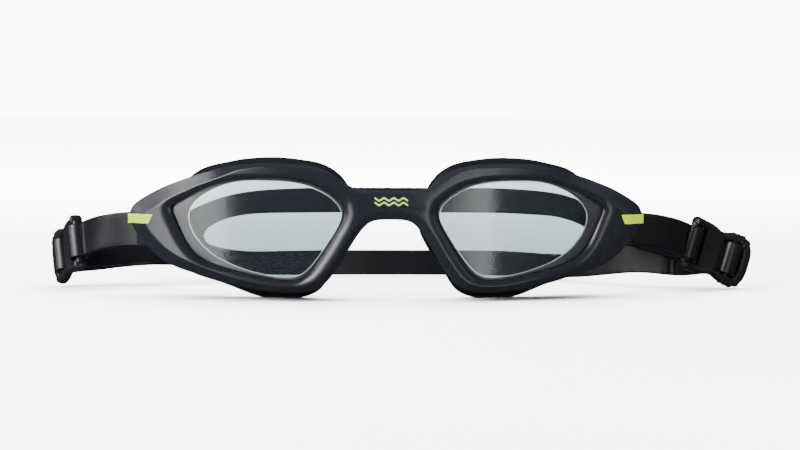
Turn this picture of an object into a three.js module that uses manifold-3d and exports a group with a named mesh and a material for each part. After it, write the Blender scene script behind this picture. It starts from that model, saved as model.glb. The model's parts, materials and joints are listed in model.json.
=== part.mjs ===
// Swim goggles with a one-piece frame, soft eye seals, slide buckles and a double head strap.
// Millimetres, +Z up, the lenses look along -Y, the frame is symmetric about X = 0.
// The goggles stand on the seals and the buckles, Z = 0 is the surface below them.
import * as THREE from 'three';
import { mergeVertices } from 'three/addons/utils/BufferGeometryUtils.js';
import Module from 'manifold-3d';

const wasm = await Module();
wasm.setup();

// Frame
const FRAME_WIDTH = 162.6;
const FRAME_HEIGHT = 39.8;
const FRAME_BASE = 2.8;
const WRAP_RADIUS = 178;
const BACK_DEPTH = 4.5;
const CROWN_HEIGHT = 2.2;
const BEVEL_WIDTH = 2.8;
const RAMP_WIDTH = 2.4;
const LIP_HEIGHT = 0.4;
const LIP_DEPTH = 1.0;
const REBATE_WIDTH = 1.2;

// Lens
const LENS_FLANGE = 1.8;
const WINDOW_RISE = 0.8;
const WINDOW_BEVEL = 0.6;

// Seal carrier and seal
const CARRIER_THICK = 1.6;
const CARRIER_WIDTH = 3.0;
const SEAL_DEPTH = 8.6;
const TEMPLE_EXTRA = 6.0;
const SEAL_INSET = 19.3;
const SEAL_ABOVE = 1.7;
const SEAL_LIP = 2.6;

// Inlay in each wing
const INLAY_LENGTH = 7.4;
const INLAY_HEIGHT = 3.0;
const INLAY_RISE = 0.2;
const INLAY_PAST_TIP = 0.5;
const INLAY_DROP = 1.6;
const INLAY_SEAT = 1.0;

// Side strap and its bead in the wing socket
const STRAP_THICK = 1.4;
const STRAP_HEIGHT = 11.0;
const ARM_LENGTH = 31.5;
const ARM_DROP = 5.5;
const BEAD_RADIUS = 2.0;
const SOCKET_WALL = 1.7;
const SOCKET_HEIGHT = 9.6;
const SOCKET_INSET = 5.8;
const SOCKET_DROP = 5.3;
const MOUTH_FROM = -10;
const MOUTH_TO = 84;

// Buckle
const BUCKLE_ROOM = 0.5;
const BUCKLE_THICK = 3.2;
const BUCKLE_RAIL = 2.9;
const BUCKLE_PLATE = 8.6;
const BUCKLE_RIM = 4.0;
const BUCKLE_LUG = 2.6;
const BAR_RADIUS = 1.6;

// Head strap
const LOOP_REACH = 80.59;
const BAND_TOP = 31.5;
const BAND_BASE = 0.5;
const BAND_SLOT = 13.4;
const TAIL_LENGTH = 38;

// Running and fitting gaps
const GAP = 0.3;

// How each arm lies, in degrees: swing of the side strap, yaw and droop of the buckle and
// angle of the tail. The bend is the bow of the side strap.
const SIDES = [
  { name: 'left', sign: -1, swing: 40, bend: 2.6, yaw: 67.5, droop: 18.5, tail: 74.5 },
  { name: 'right', sign: 1, swing: 34, bend: 2.0, yaw: 25, droop: 20, tail: 37 },
];

// Outlines of the right half, x as a share of half the frame width, z as a share of its height.
// The frame's outer edge, from the top of the bridge over the wing and back under the nose arch.
const OUTER_EDGE = [
  [0, 0.794], [0.074, 0.794], [0.135, 0.812], [0.178, 0.859], [0.231, 0.935], [0.308, 0.985],
  [0.394, 0.998], [0.492, 1.0], [0.590, 0.985], [0.689, 0.937], [0.793, 0.869], [0.886, 0.791],
  [0.953, 0.714], [0.988, 0.656],
  [1.0, 0.598], [0.993, 0.523], [0.967, 0.430], [0.923, 0.327], [0.863, 0.226], [0.781, 0.156],
  [0.689, 0.103], [0.590, 0.050], [0.492, 0.015], [0.406, 0], [0.332, 0.003], [0.274, 0.035],
  [0.226, 0.126], [0.182, 0.261], [0.143, 0.394], [0.108, 0.495], [0.079, 0.548], [0.039, 0.568],
  [0, 0.570], [0, 0.683],
];
// The lens opening, point for point beside the outer edge.
const LENS_OPENING = [
  [0.187, 0.688], [0.204, 0.724], [0.224, 0.759], [0.250, 0.794], [0.283, 0.829], [0.338, 0.862],
  [0.406, 0.880], [0.492, 0.882], [0.590, 0.869], [0.676, 0.827], [0.756, 0.759], [0.812, 0.693],
  [0.831, 0.663], [0.836, 0.638],
  [0.833, 0.606], [0.822, 0.553], [0.804, 0.470], [0.780, 0.377], [0.745, 0.291], [0.699, 0.229],
  [0.633, 0.186], [0.554, 0.148], [0.474, 0.113], [0.406, 0.095], [0.357, 0.101], [0.320, 0.138],
  [0.285, 0.221], [0.246, 0.339], [0.210, 0.462], [0.189, 0.538], [0.181, 0.583], [0.178, 0.618],
  [0.180, 0.648], [0.182, 0.668],
];
// The raised clear window of the lens.
const WINDOW = [
  [0.771, 0.598], [0.760, 0.661], [0.722, 0.741], [0.664, 0.809], [0.588, 0.857], [0.475, 0.869],
  [0.380, 0.859], [0.304, 0.824], [0.247, 0.771], [0.205, 0.701], [0.185, 0.623], [0.194, 0.538],
  [0.229, 0.412], [0.285, 0.241], [0.323, 0.158], [0.362, 0.118], [0.400, 0.111], [0.456, 0.123],
  [0.571, 0.181], [0.665, 0.269], [0.722, 0.364], [0.760, 0.480],
];
// The seal's widest edge, x as a share of half the seal width, z of the seal height.
const SEAL_EDGE = [
  [1.12, 0.67], [1.08, 0.77], [1.02, 0.866], [0.955, 0.952], [0.844, 0.977], [0.744, 0.993],
  [0.618, 1.0], [0.542, 1.0], [0.442, 0.986], [0.342, 0.959], [0.242, 0.874], [0.19, 0.76],
  [0.17, 0.64], [0.155, 0.50], [0.18, 0.41], [0.232, 0.29], [0.292, 0.17], [0.344, 0.065], [0.394, 0.023],
  [0.45, 0], [0.63, 0], [0.747, 0.050], [0.847, 0.099], [0.93, 0.130], [1.04, 0.20],
  [1.09, 0.35], [1.12, 0.50],
];
const EYE_CENTRE = [0.492, 0.49];

const radians = (degrees) => degrees * Math.PI / 180;
const mix = (a, b, t) => a + (b - a) * t;
const wrapAt = (x) => x * x / (2 * WRAP_RADIUS);
const finish = (color, roughness, metalness = 0) => (
  new THREE.MeshStandardMaterial({ color, roughness, metalness }));

const framePoint = ([x, z]) => new THREE.Vector2(x * FRAME_WIDTH / 2, FRAME_BASE + z * FRAME_HEIGHT);
const sealHalf = FRAME_WIDTH / 2 - SEAL_INSET;
const sealHeight = FRAME_BASE + FRAME_HEIGHT + SEAL_ABOVE;
const sealPoint = ([x, z]) => new THREE.Vector2(x * sealHalf, z * sealHeight);
const outerEdge = OUTER_EDGE.map(framePoint);
const opening = LENS_OPENING.map(framePoint);
const windowEdge = WINDOW.map(framePoint);
const sealEdge = SEAL_EDGE.map(sealPoint);
const eye = framePoint(EYE_CENTRE);
const wingTip = framePoint(OUTER_EDGE[14]);

// Closed mesh from its points and triangles, turned so that its faces point outwards.
function closedMesh(points, triangles) {
  let volume = 0;
  for (const [a, b, c] of triangles) {
    volume += points[a].dot(new THREE.Vector3().crossVectors(points[b], points[c]));
  }
  const faces = volume < 0 ? triangles.map(([a, b, c]) => [a, c, b]) : triangles;
  const geometry = new THREE.BufferGeometry();
  geometry.setAttribute('position', new THREE.Float32BufferAttribute(points.flatMap((p) => [...p]), 3));
  geometry.setIndex(faces.flat());
  return geometry;
}

// Skin over equal loops of points, joined end to end in a ring or closed at both ends.
function loft(loops, ring = false) {
  const count = loops[0].length;
  const points = loops.flat();
  const triangles = [];
  const steps = ring ? loops.length : loops.length - 1;
  for (let i = 0; i < steps; i += 1) {
    const here = i * count;
    const next = ((i + 1) % loops.length) * count;
    for (let j = 0; j < count; j += 1) {
      const k = (j + 1) % count;
      triangles.push([here + j, next + j, next + k], [here + j, next + k, here + k]);
    }
  }
  if (!ring) {
    for (const [index, turn] of [[0, false], [loops.length - 1, true]]) {
      const middle = new THREE.Vector3();
      loops[index].forEach((p) => middle.addScaledVector(p, 1 / count));
      const hub = points.push(middle) - 1;
      for (let j = 0; j < count; j += 1) {
        const a = index * count + j;
        const b = index * count + (j + 1) % count;
        triangles.push(turn ? [hub, b, a] : [hub, a, b]);
      }
    }
  }
  return closedMesh(points, triangles);
}

function toSolid(geometry) {
  const plain = geometry.clone();
  plain.deleteAttribute('normal');
  plain.deleteAttribute('uv');
  const merged = mergeVertices(plain, 1e-4);
  return new wasm.Manifold(new wasm.Mesh({
    numProp: 3,
    vertProperties: new Float32Array(merged.attributes.position.array),
    triVerts: new Uint32Array(merged.index.array),
  }));
}

function toGeometry(solid) {
  const mesh = solid.getMesh();
  const geometry = new THREE.BufferGeometry();
  geometry.setAttribute('position', new THREE.Float32BufferAttribute(mesh.vertProperties, 3));
  geometry.setIndex(Array.from(mesh.triVerts));
  return geometry;
}

// The same geometry on the other side of X = 0.
function handed(geometry, sign) {
  if (sign > 0) return geometry;
  const mirrored = geometry.clone();
  const place = mirrored.attributes.position;
  for (let i = 0; i < place.count; i += 1) place.setX(i, -place.getX(i));
  const index = mirrored.index.array;
  for (let i = 0; i < index.length; i += 3) [index[i + 1], index[i + 2]] = [index[i + 2], index[i + 1]];
  return mirrored;
}

function pointToLine(p, a, b) {
  const along = b.clone().sub(a);
  const share = THREE.MathUtils.clamp(p.clone().sub(a).dot(along) / along.lengthSq(), 0, 1);
  return p.distanceTo(a.clone().addScaledVector(along, share));
}

const outlineDistance = (p, outline) => Math.min(...outline.map((a, i) => (
  pointToLine(p, a, outline[(i + 1) % outline.length]))));

// Where a ray from the eye centre towards a point crosses an outline.
function radialHit(outline, towards) {
  const ray = towards.clone().sub(eye).normalize();
  let hit = null;
  outline.forEach((a, i) => {
    const edge = outline[(i + 1) % outline.length].clone().sub(a);
    const away = a.clone().sub(eye);
    const cross = ray.cross(edge);
    if (Math.abs(cross) < 1e-9) return;
    const reach = away.cross(edge) / cross;
    const share = away.cross(ray) / cross;
    if (reach > 0 && share >= -1e-9 && share <= 1 + 1e-9) hit = eye.clone().addScaledVector(ray, reach);
  });
  return hit;
}

// Point beside the opening, pushed outwards by a distance but never past a share of the rim.
function besideOpening(i, distance, most = 0.85) {
  const across = outerEdge[i].clone().sub(opening[i]);
  return opening[i].clone().addScaledVector(across, Math.min(distance / across.length(), most));
}

const onWrap = (p, depth) => new THREE.Vector3(p.x, wrapAt(p.x) + depth, p.y);

// Height of the frame's face: a bevel up from the outer edge, a crown and a ramp down to the lens.
function reliefAt(p) {
  const solidEdge = outerEdge.slice(0, -1);
  const outer = Math.min(...solidEdge.slice(0, -1).map((a, i) => pointToLine(p, a, solidEdge[i + 1])));
  const inner = outlineDistance(p, opening);
  const ramp = LIP_HEIGHT + inner * (CROWN_HEIGHT - LIP_HEIGHT) / RAMP_WIDTH;
  return Math.min(CROWN_HEIGHT, outer * CROWN_HEIGHT / BEVEL_WIDTH, ramp);
}

// Section through one rim: face, lip, rebate for the lens and back.
function rimSection(i) {
  const face = [0, 0.2, 0.45, 0.7].map((share) => {
    const p = outerEdge[i].clone().lerp(opening[i], share);
    return onWrap(p, -reliefAt(p));
  });
  const rebate = besideOpening(i, REBATE_WIDTH);
  return [...face, onWrap(opening[i], -LIP_HEIGHT), onWrap(opening[i], LIP_DEPTH),
    onWrap(rebate, LIP_DEPTH), onWrap(rebate, BACK_DEPTH), onWrap(outerEdge[i], BACK_DEPTH)];
}

const socketX = FRAME_WIDTH / 2 - SOCKET_INSET;
const socketHole = BEAD_RADIUS + GAP;
const socketOuter = socketHole + SOCKET_WALL;
const socketPlace = new THREE.Vector3(
  socketX, wrapAt(socketX) + BACK_DEPTH + socketOuter - 0.1, wingTip.y - SOCKET_DROP);

// Open C behind the wing, its mouth turned outwards and back for the side strap.
function socketGeometry(sign) {
  const from = radians(MOUTH_TO);
  const to = radians(MOUTH_FROM + 360);
  const section = new THREE.Shape();
  section.absarc(0, 0, socketOuter, from, to, false);
  section.absarc(0, 0, socketHole, to, from, true);
  section.closePath();
  const geometry = new THREE.ExtrudeGeometry(section, {
    depth: SOCKET_HEIGHT, bevelEnabled: false, curveSegments: 18 });
  geometry.translate(0, 0, -SOCKET_HEIGHT / 2);
  geometry.translate(...socketPlace);
  return handed(mergeVertices(stripped(geometry), 1e-4), sign);
}

function stripped(geometry) {
  geometry.deleteAttribute('normal');
  geometry.deleteAttribute('uv');
  return geometry;
}

// The inlay's outline on the wing: a tapered bar that ends at the wing tip.
const inlayTip = FRAME_WIDTH / 2 + INLAY_PAST_TIP;
const inlayLevel = wingTip.y - INLAY_DROP;
function inlayCorner(along, across, margin) {
  const taper = mix(-0.65, 0.65, across) * (1 - along);
  const inner = inlayTip - INLAY_LENGTH - taper - margin;
  const outer = inlayTip + margin;
  const z = inlayLevel + (across - 0.5) * (INLAY_HEIGHT + 2 * margin);
  return new THREE.Vector2(mix(inner, outer, along), z);
}

function inlayGeometry(sign) {
  const loops = [];
  for (let i = 0; i <= 4; i += 1) {
    const low = inlayCorner(i / 4, 0, 0);
    const mid = inlayCorner(i / 4, 0.5, 0);
    const high = inlayCorner(i / 4, 1, 0);
    loops.push([onWrap(low, INLAY_SEAT - GAP), onWrap(low, -reliefAt(low) - INLAY_RISE),
      onWrap(mid, -reliefAt(mid) - INLAY_RISE), onWrap(high, -reliefAt(high) - INLAY_RISE),
      onWrap(high, INLAY_SEAT - GAP)]);
  }
  return handed(loft(loops), sign);
}

// Pocket for the inlay, open at the wing tip.
function pocketGeometry(sign) {
  const loops = [];
  for (let i = 0; i <= 4; i += 1) {
    const low = inlayCorner(i / 4 * 1.4, 0, GAP);
    const high = inlayCorner(i / 4 * 1.4, 1, GAP);
    loops.push([onWrap(low, INLAY_SEAT), onWrap(low, -6), onWrap(high, -6), onWrap(high, INLAY_SEAT)]);
  }
  return handed(loft(loops), sign);
}

function frameGeometry() {
  const rim = loft(outerEdge.map((p, i) => rimSection(i)), true);
  let frame = toSolid(rim).add(toSolid(handed(rim, -1)));
  for (const { sign } of SIDES) {
    frame = frame.add(toSolid(socketGeometry(sign)));
    frame = frame.subtract(toSolid(pocketGeometry(sign)));
  }
  return toGeometry(frame);
}

// Lens: a flange behind the lip and a raised window with a bevelled edge.
const lensFront = LIP_DEPTH + GAP;
function lensGeometry(sign) {
  const flange = opening.map((p, i) => besideOpening(i, REBATE_WIDTH - GAP));
  const foot = opening.map((p) => radialHit(windowEdge, p));
  const top = foot.map((p) => p.clone().lerp(eye, WINDOW_BEVEL / p.distanceTo(eye)));
  const loops = [
    top.map((p) => onWrap(p.clone().lerp(eye, 0.5), lensFront - WINDOW_RISE)),
    top.map((p) => onWrap(p, lensFront - WINDOW_RISE)),
    foot.map((p) => onWrap(p, lensFront)),
    flange.map((p) => onWrap(p, lensFront)),
    flange.map((p) => onWrap(p, lensFront + LENS_FLANGE)),
    foot.map((p) => onWrap(p.clone().lerp(eye, 0.5), lensFront + LENS_FLANGE)),
  ];
  return handed(loft(loops), sign);
}

// Seal carrier: a flat ring behind the frame with a lip that holds the lens in its rebate.
const lensBack = lensFront + LENS_FLANGE;
const carrierFront = BACK_DEPTH + GAP;
const carrierBack = carrierFront + CARRIER_THICK;
function carrierGeometry(sign) {
  return handed(loft(opening.map((p, i) => {
    const inner = besideOpening(i, 0.1);
    const lip = besideOpening(i, REBATE_WIDTH - GAP);
    const outer = besideOpening(i, CARRIER_WIDTH, 0.75);
    return [onWrap(inner, lensBack + GAP), onWrap(lip, lensBack + GAP), onWrap(lip, carrierFront),
      onWrap(outer, carrierFront), onWrap(outer, carrierBack), onWrap(inner, carrierBack)];
  }), true), sign);
}

// Seal: a soft ring that flares from the carrier to a lip, deeper on the temple side.
const sealFront = carrierBack + GAP;
function sealGeometry(sign) {
  return handed(loft(opening.map((p, i) => {
    const foot = besideOpening(i, 0.6);
    const shoulder = besideOpening(i, CARRIER_WIDTH, 0.75);
    const edge = radialHit(sealEdge, p);
    const temple = THREE.MathUtils.smoothstep(p.x, eye.x, FRAME_WIDTH / 2 * 0.84) * TEMPLE_EXTRA;
    const lipFrom = sealFront + SEAL_DEPTH - SEAL_LIP + temple;
    const lipTo = sealFront + SEAL_DEPTH + temple;
    const inside = edge.clone().lerp(foot, 0.5);
    return [onWrap(foot, sealFront), onWrap(shoulder, sealFront), onWrap(edge, lipFrom),
      onWrap(edge, lipTo), onWrap(inside, lipTo + 0.6), onWrap(foot, lipFrom)];
  }), true), sign);
}

// Flat band along a line of places: each has a centre, an up direction, a half height and a half width.
function bandGeometry(places) {
  return loft(places.map(({ centre, up, half, thick }, i) => {
    const before = places[Math.max(i - 1, 0)].centre;
    const after = places[Math.min(i + 1, places.length - 1)].centre;
    const across = new THREE.Vector3().crossVectors(after.clone().sub(before), up).normalize();
    const corner = (a, b) => centre.clone().addScaledVector(across, a * thick).addScaledVector(up, b * half);
    return [corner(-1, -1), corner(1, -1), corner(1, 1), corner(-1, 1)];
  }));
}

const arm = (side) => radians(side.swing);
const turnOf = (side) => radians(side.yaw - side.swing);

// Direction of the buckle's bars seen from the side strap.
function barAxis(side) {
  const axis = new THREE.Vector3(0, 0, 1);
  return axis.applyEuler(new THREE.Euler(0, radians(side.droop), turnOf(side), 'ZYX'));
}

// Side strap along +X: a bead, a gently bowed band and an eye round the buckle's first bar.
function sideStrapGeometry(side) {
  const axis = barAxis(side);
  const eyeInner = BAR_RADIUS + GAP;
  const eyeMiddle = eyeInner + STRAP_THICK / 2;
  const end = new THREE.Vector3(ARM_LENGTH, 0, -ARM_DROP);
  const endSlope = Math.tan(radians(side.droop)) * Math.cos(turnOf(side));
  const places = [];
  for (let i = 0; i <= 10; i += 1) {
    const share = i / 10;
    const x = mix(BEAD_RADIUS * 0.6, ARM_LENGTH - eyeMiddle, share);
    const t = x / ARM_LENGTH;
    const z = -ARM_DROP * t * t * (3 - 2 * t) + endSlope * ARM_LENGTH * t * t * (1 - t);
    const centre = new THREE.Vector3(x, -side.bend * Math.sin(Math.PI * t), z);
    const up = new THREE.Vector3(0, 0, 1).lerp(axis, Math.max(0, 2 * share - 1)).normalize();
    places.push({ centre, up, half: STRAP_HEIGHT / 2, thick: STRAP_THICK / 2 });
  }
  const bead = new THREE.CylinderGeometry(BEAD_RADIUS, BEAD_RADIUS, STRAP_HEIGHT, 20);
  bead.rotateX(Math.PI / 2);
  const loop = new THREE.Shape().absarc(0, 0, eyeInner + STRAP_THICK, 0, 2 * Math.PI, false);
  loop.holes.push(new THREE.Path().absarc(0, 0, eyeInner, 0, 2 * Math.PI, true));
  const wrapped = new THREE.ExtrudeGeometry(
    loop, { depth: STRAP_HEIGHT, bevelEnabled: false, curveSegments: 16 });
  wrapped.translate(0, 0, -STRAP_HEIGHT / 2);
  wrapped.applyQuaternion(new THREE.Quaternion().setFromUnitVectors(new THREE.Vector3(0, 0, 1), axis));
  wrapped.translate(...end);
  const solid = toSolid(bandGeometry(places)).add(toSolid(bead)).add(toSolid(wrapped));
  return handed(toGeometry(solid), side.sign);
}

// Buckle in its own plane: X outwards from the first bar, Y towards the head, Z along the bars.
const slotEnd = BAR_RADIUS + GAP + STRAP_THICK + 0.7;
const windowFrom = slotEnd + BUCKLE_PLATE;
const rollRadius = BAR_RADIUS + GAP + STRAP_THICK / 2;
const windowTo = windowFrom + 2 * (rollRadius + STRAP_THICK / 2 + 0.7);
const outerBar = (windowFrom + windowTo) / 2;
const buckleEnd = windowTo + BUCKLE_RIM;
function buckleGeometry(sign) {
  const rail = STRAP_HEIGHT / 2 + BUCKLE_ROOM;
  const top = rail + BUCKLE_RAIL;
  const shape = new THREE.Shape();
  shape.moveTo(-BUCKLE_LUG, rail);
  shape.lineTo(-BUCKLE_LUG, top - 1.6);
  shape.quadraticCurveTo(-BUCKLE_LUG, top, -BUCKLE_LUG + 1.6, top);
  shape.lineTo(2.4, top);
  shape.lineTo(5.0, top - 0.6);
  shape.lineTo(windowFrom, top - 0.2);
  shape.lineTo(windowTo, top);
  shape.quadraticCurveTo(buckleEnd, top, buckleEnd, top - 5);
  shape.lineTo(buckleEnd, 5 - top);
  shape.quadraticCurveTo(buckleEnd, -top, windowTo, -top);
  shape.lineTo(windowFrom, 0.2 - top);
  shape.lineTo(5.0, 0.6 - top);
  shape.lineTo(2.4, -top);
  shape.lineTo(-BUCKLE_LUG + 1.6, -top);
  shape.quadraticCurveTo(-BUCKLE_LUG, -top, -BUCKLE_LUG, 1.6 - top);
  shape.lineTo(-BUCKLE_LUG, -rail);
  shape.lineTo(slotEnd, -rail);
  shape.lineTo(slotEnd, rail);
  shape.closePath();
  const hole = new THREE.Path();
  const reach = rail + 0.3;
  hole.moveTo(windowFrom, -reach);
  hole.lineTo(windowTo, -reach);
  hole.lineTo(windowTo, reach);
  hole.lineTo(windowFrom, reach);
  hole.closePath();
  shape.holes.push(hole);
  const body = new THREE.ExtrudeGeometry(
    shape, { depth: BUCKLE_THICK, bevelEnabled: false, curveSegments: 6 });
  body.translate(0, 0, -BUCKLE_THICK / 2);
  body.rotateX(Math.PI / 2);
  let solid = toSolid(body);
  for (const place of [0, outerBar]) {
    const bar = new THREE.CylinderGeometry(BAR_RADIUS, BAR_RADIUS, 2 * rail + 2, 16);
    bar.rotateX(Math.PI / 2);
    bar.translate(place, 0, 0);
    solid = solid.add(toSolid(bar));
  }
  return handed(toGeometry(solid), sign);
}

// Free end of the head strap, a straight band along +X.
function tailGeometry(sign) {
  const places = [0, TAIL_LENGTH - 3, TAIL_LENGTH].map((x, i) => ({
    centre: new THREE.Vector3(x, 0, 0),
    up: new THREE.Vector3(0, 0, 1),
    half: STRAP_HEIGHT / 2 - (i === 2 ? 1.6 : 0),
    thick: STRAP_THICK / 2,
  }));
  return handed(bandGeometry(places), sign);
}

const soft = finish(0x25272d, 0.62);
const shell = finish(0x3a3d45, 0.42);
const clear = finish(0xb9c6c6, 0.08);
const lime = finish(0xcfe56a, 0.4);

const goggles = new THREE.Group();

function addPiece(parent, name, geometry, material) {
  const mesh = new THREE.Mesh(geometry, material);
  mesh.name = name;
  parent.add(mesh);
  return mesh;
}

addPiece(goggles, 'frame', frameGeometry(), shell);
for (const side of SIDES) {
  addPiece(goggles, `lens_${side.name}`, lensGeometry(side.sign), clear);
  addPiece(goggles, `seal_carrier_${side.name}`, carrierGeometry(side.sign), shell);
  addPiece(goggles, `seal_${side.name}`, sealGeometry(side.sign), soft);
  addPiece(goggles, `inlay_${side.name}`, inlayGeometry(side.sign), lime);
}

// Each arm hangs from its socket: side strap, then the buckle on it, then the tail in the buckle.
const tailStart = new THREE.Vector3(outerBar - rollRadius - 0.2, 2.5, 0);
for (const side of SIDES) {
  const armGroup = new THREE.Group();
  armGroup.position.set(side.sign * socketPlace.x, socketPlace.y, socketPlace.z);
  armGroup.rotation.z = side.sign * arm(side);
  goggles.add(armGroup);
  addPiece(armGroup, `side_strap_${side.name}`, sideStrapGeometry(side), soft);

  const buckleGroup = new THREE.Group();
  buckleGroup.position.set(side.sign * ARM_LENGTH, 0, -ARM_DROP);
  buckleGroup.rotation.set(0, side.sign * radians(side.droop), side.sign * turnOf(side), 'ZYX');
  armGroup.add(buckleGroup);
  addPiece(buckleGroup, `buckle_${side.name}`, buckleGeometry(side.sign), shell);

  const tail = addPiece(buckleGroup, `strap_tail_${side.name}`, tailGeometry(side.sign), soft);
  tail.position.set(side.sign * tailStart.x, tailStart.y, tailStart.z);
  tail.rotation.z = side.sign * (Math.PI - radians(side.tail));
  side.buckleGroup = buckleGroup;
}
goggles.updateMatrixWorld(true);

// The strap's start on one buckle: up past the tail, round the outer bar and out on the head side.
function rollPlaces(side) {
  const turns = [[outerBar - rollRadius, 1.6], [outerBar - rollRadius, 0.6]];
  for (let a = 180; a <= 360; a += 30) {
    turns.push([outerBar + rollRadius * Math.cos(radians(a)), rollRadius * Math.sin(radians(a))]);
  }
  turns.push([outerBar + rollRadius - 0.3, 3.0], [outerBar + 0.9, 6.4]);
  const up = new THREE.Vector3(0, 0, 1).transformDirection(side.buckleGroup.matrixWorld);
  return turns.map(([x, y]) => ({
    centre: new THREE.Vector3(side.sign * x, y, 0).applyMatrix4(side.buckleGroup.matrixWorld),
    up,
    half: STRAP_HEIGHT / 2,
  }));
}

// The strap behind the head: x, y as a share of its reach behind the sockets, bottom and top.
const LOOP = [
  [-94.5, 0.578, 4.7, 15.9], [-84.5, 0.616, 5.9, 17.2], [-72, 0.677, 6.2, 20.5], [-60, 0.751, 4.2, 26.5],
  [-49, 0.845, 2.0, BAND_TOP - 1.6], [-36.8, 0.928, 0.8, BAND_TOP - 0.4], [-19, 0.982, BAND_BASE, BAND_TOP],
  [5.8, 1.0, BAND_BASE, BAND_TOP], [30, 0.982, BAND_BASE, BAND_TOP], [46, 0.932, BAND_BASE, BAND_TOP],
  [58, 0.841, BAND_BASE, BAND_TOP - 0.6], [67, 0.730, 0.9, 29.5], [76, 0.605, 2.3, 25.0],
  [89, 0.485, 5.0, 17.0], [102, 0.414, 3.8, 14.9],
];
const loopScale = (FRAME_WIDTH / 2 + ARM_LENGTH) / 112.8;

function loopPlaces() {
  const middle = LOOP.map(([x, y, low, high], i) => ({
    centre: new THREE.Vector3(x * loopScale, socketPlace.y + y * LOOP_REACH, (low + high) / 2),
    up: new THREE.Vector3(0, 0, 1),
    half: (high - low) / 2,
  }));
  return [...rollPlaces(SIDES[0]), ...middle, ...rollPlaces(SIDES[1]).reverse()];
}

// Smooth the places: one curve for the centres, one for the up directions, one for the heights.
function smoothPlaces(places, steps, thick) {
  const centres = new THREE.CatmullRomCurve3(places.map((p) => p.centre), false, 'centripetal');
  const ups = new THREE.CatmullRomCurve3(places.map((p) => p.up));
  const halves = new THREE.CatmullRomCurve3(places.map((p) => new THREE.Vector3(p.half, 0, 0)));
  return Array.from({ length: steps + 1 }, (_, i) => ({
    centre: centres.getPoint(i / steps),
    up: ups.getPoint(i / steps).normalize(),
    half: halves.getPoint(i / steps).x,
    thick,
  }));
}

// The slot that parts the strap into two bands, with rounded ends.
function slotPlaces(band, from, to) {
  const chosen = band.slice(from, to + 1);
  return chosen.map((place, i) => {
    const fromEnd = Math.min(i, chosen.length - 1 - i);
    const rounding = Math.sqrt(1 - (1 - Math.min(1, (fromEnd + 0.15) / 4)) ** 2);
    return { ...place, half: BAND_SLOT / 2 * rounding, thick: 5 };
  });
}

const places = loopPlaces();
const perPlace = 3;
const bandPlaces = smoothPlaces(places, (places.length - 1) * perPlace, STRAP_THICK / 2);
const firstLoop = rollPlaces(SIDES[0]).length;
const slotFrom = (firstLoop + 3) * perPlace;
const slotTo = (firstLoop + 11) * perPlace;
const strapSolid = toSolid(bandGeometry(bandPlaces)).subtract(
  toSolid(bandGeometry(slotPlaces(bandPlaces, slotFrom, slotTo))));
addPiece(goggles, 'head_strap', toGeometry(strapSolid), soft);

// The origin is the middle of the whole part's footprint, on the surface it stands on.
const bounds = new THREE.Box3().setFromObject(goggles, true);
const centre = bounds.getCenter(new THREE.Vector3());
goggles.position.set(-centre.x, -centre.y, -bounds.min.z);

export default goggles;
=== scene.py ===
import json
import math

import bmesh
import bpy
import mathutils
import numpy as np
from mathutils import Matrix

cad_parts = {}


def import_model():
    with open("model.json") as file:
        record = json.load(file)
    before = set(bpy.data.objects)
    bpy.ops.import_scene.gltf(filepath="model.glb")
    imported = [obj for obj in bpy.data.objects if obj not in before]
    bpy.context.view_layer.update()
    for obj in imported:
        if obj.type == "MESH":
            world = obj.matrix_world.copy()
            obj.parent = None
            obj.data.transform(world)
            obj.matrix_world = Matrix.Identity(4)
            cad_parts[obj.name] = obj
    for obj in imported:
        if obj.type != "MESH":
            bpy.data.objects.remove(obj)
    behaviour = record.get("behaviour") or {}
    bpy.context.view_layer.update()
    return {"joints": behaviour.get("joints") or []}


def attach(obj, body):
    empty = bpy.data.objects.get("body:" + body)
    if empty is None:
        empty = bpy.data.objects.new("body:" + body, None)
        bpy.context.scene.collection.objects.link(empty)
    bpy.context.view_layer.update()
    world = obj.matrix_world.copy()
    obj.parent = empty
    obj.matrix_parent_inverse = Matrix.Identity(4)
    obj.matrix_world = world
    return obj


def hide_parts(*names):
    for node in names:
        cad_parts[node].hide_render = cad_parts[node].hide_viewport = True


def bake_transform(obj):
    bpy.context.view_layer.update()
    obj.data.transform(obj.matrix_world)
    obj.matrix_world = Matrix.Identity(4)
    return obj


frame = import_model()

# --- Frame -------------------------------------------------------------------------------------
# One moulding of dark satin plastic: two rims joined by the bridge, a wing at each side and a
# C-shaped socket behind each wing. The lenses lie in it, everything else is fixed to its back.

MIDDLE = np.array([-7.1236, -51.751, 0.0])   # the bridge's front on the row frame, in mm
HALF_WIDTH = 81.3
BASE = 2.8
RIM_HEIGHT = 39.8
WRAP = 178.0
BACK = 4.5
CROWN = 2.2
LIP = 0.4
LIP_BACK = 1.0
REBATE = 1.2

# Right half of the outer edge from the bridge's top over the wing and back under the nose arch:
# x as a share of half the width, z as a share of the rim's height, width of the outer chamfer.
EDGE = np.array([
    [0, .794, .9], [.074, .794, .9], [.135, .812, .9], [.178, .859, .9], [.231, .935, .9],
    [.308, .985, .9], [.394, .998, .9], [.492, 1.0, 1.0], [.590, .985, 1.6], [.689, .937, 3.4],
    [.793, .869, 4.4], [.886, .791, 4.6], [.953, .714, 4.6], [.988, .656, 4.4], [1.0, .598, 4.0],
    [.993, .523, 3.8], [.967, .430, 3.6], [.923, .327, 3.6], [.863, .226, 3.6], [.781, .156, 3.2],
    [.689, .103, 2.8], [.590, .050, 2.3], [.492, .015, 2.0], [.406, 0, 2.0], [.332, .003, 2.2],
    [.274, .035, 2.5], [.226, .126, 2.6], [.182, .261, 2.6], [.143, .394, 2.6], [.108, .495, 2.6],
    [.079, .548, 2.5], [.039, .568, 2.5], [0, .570, 2.5]])
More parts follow.
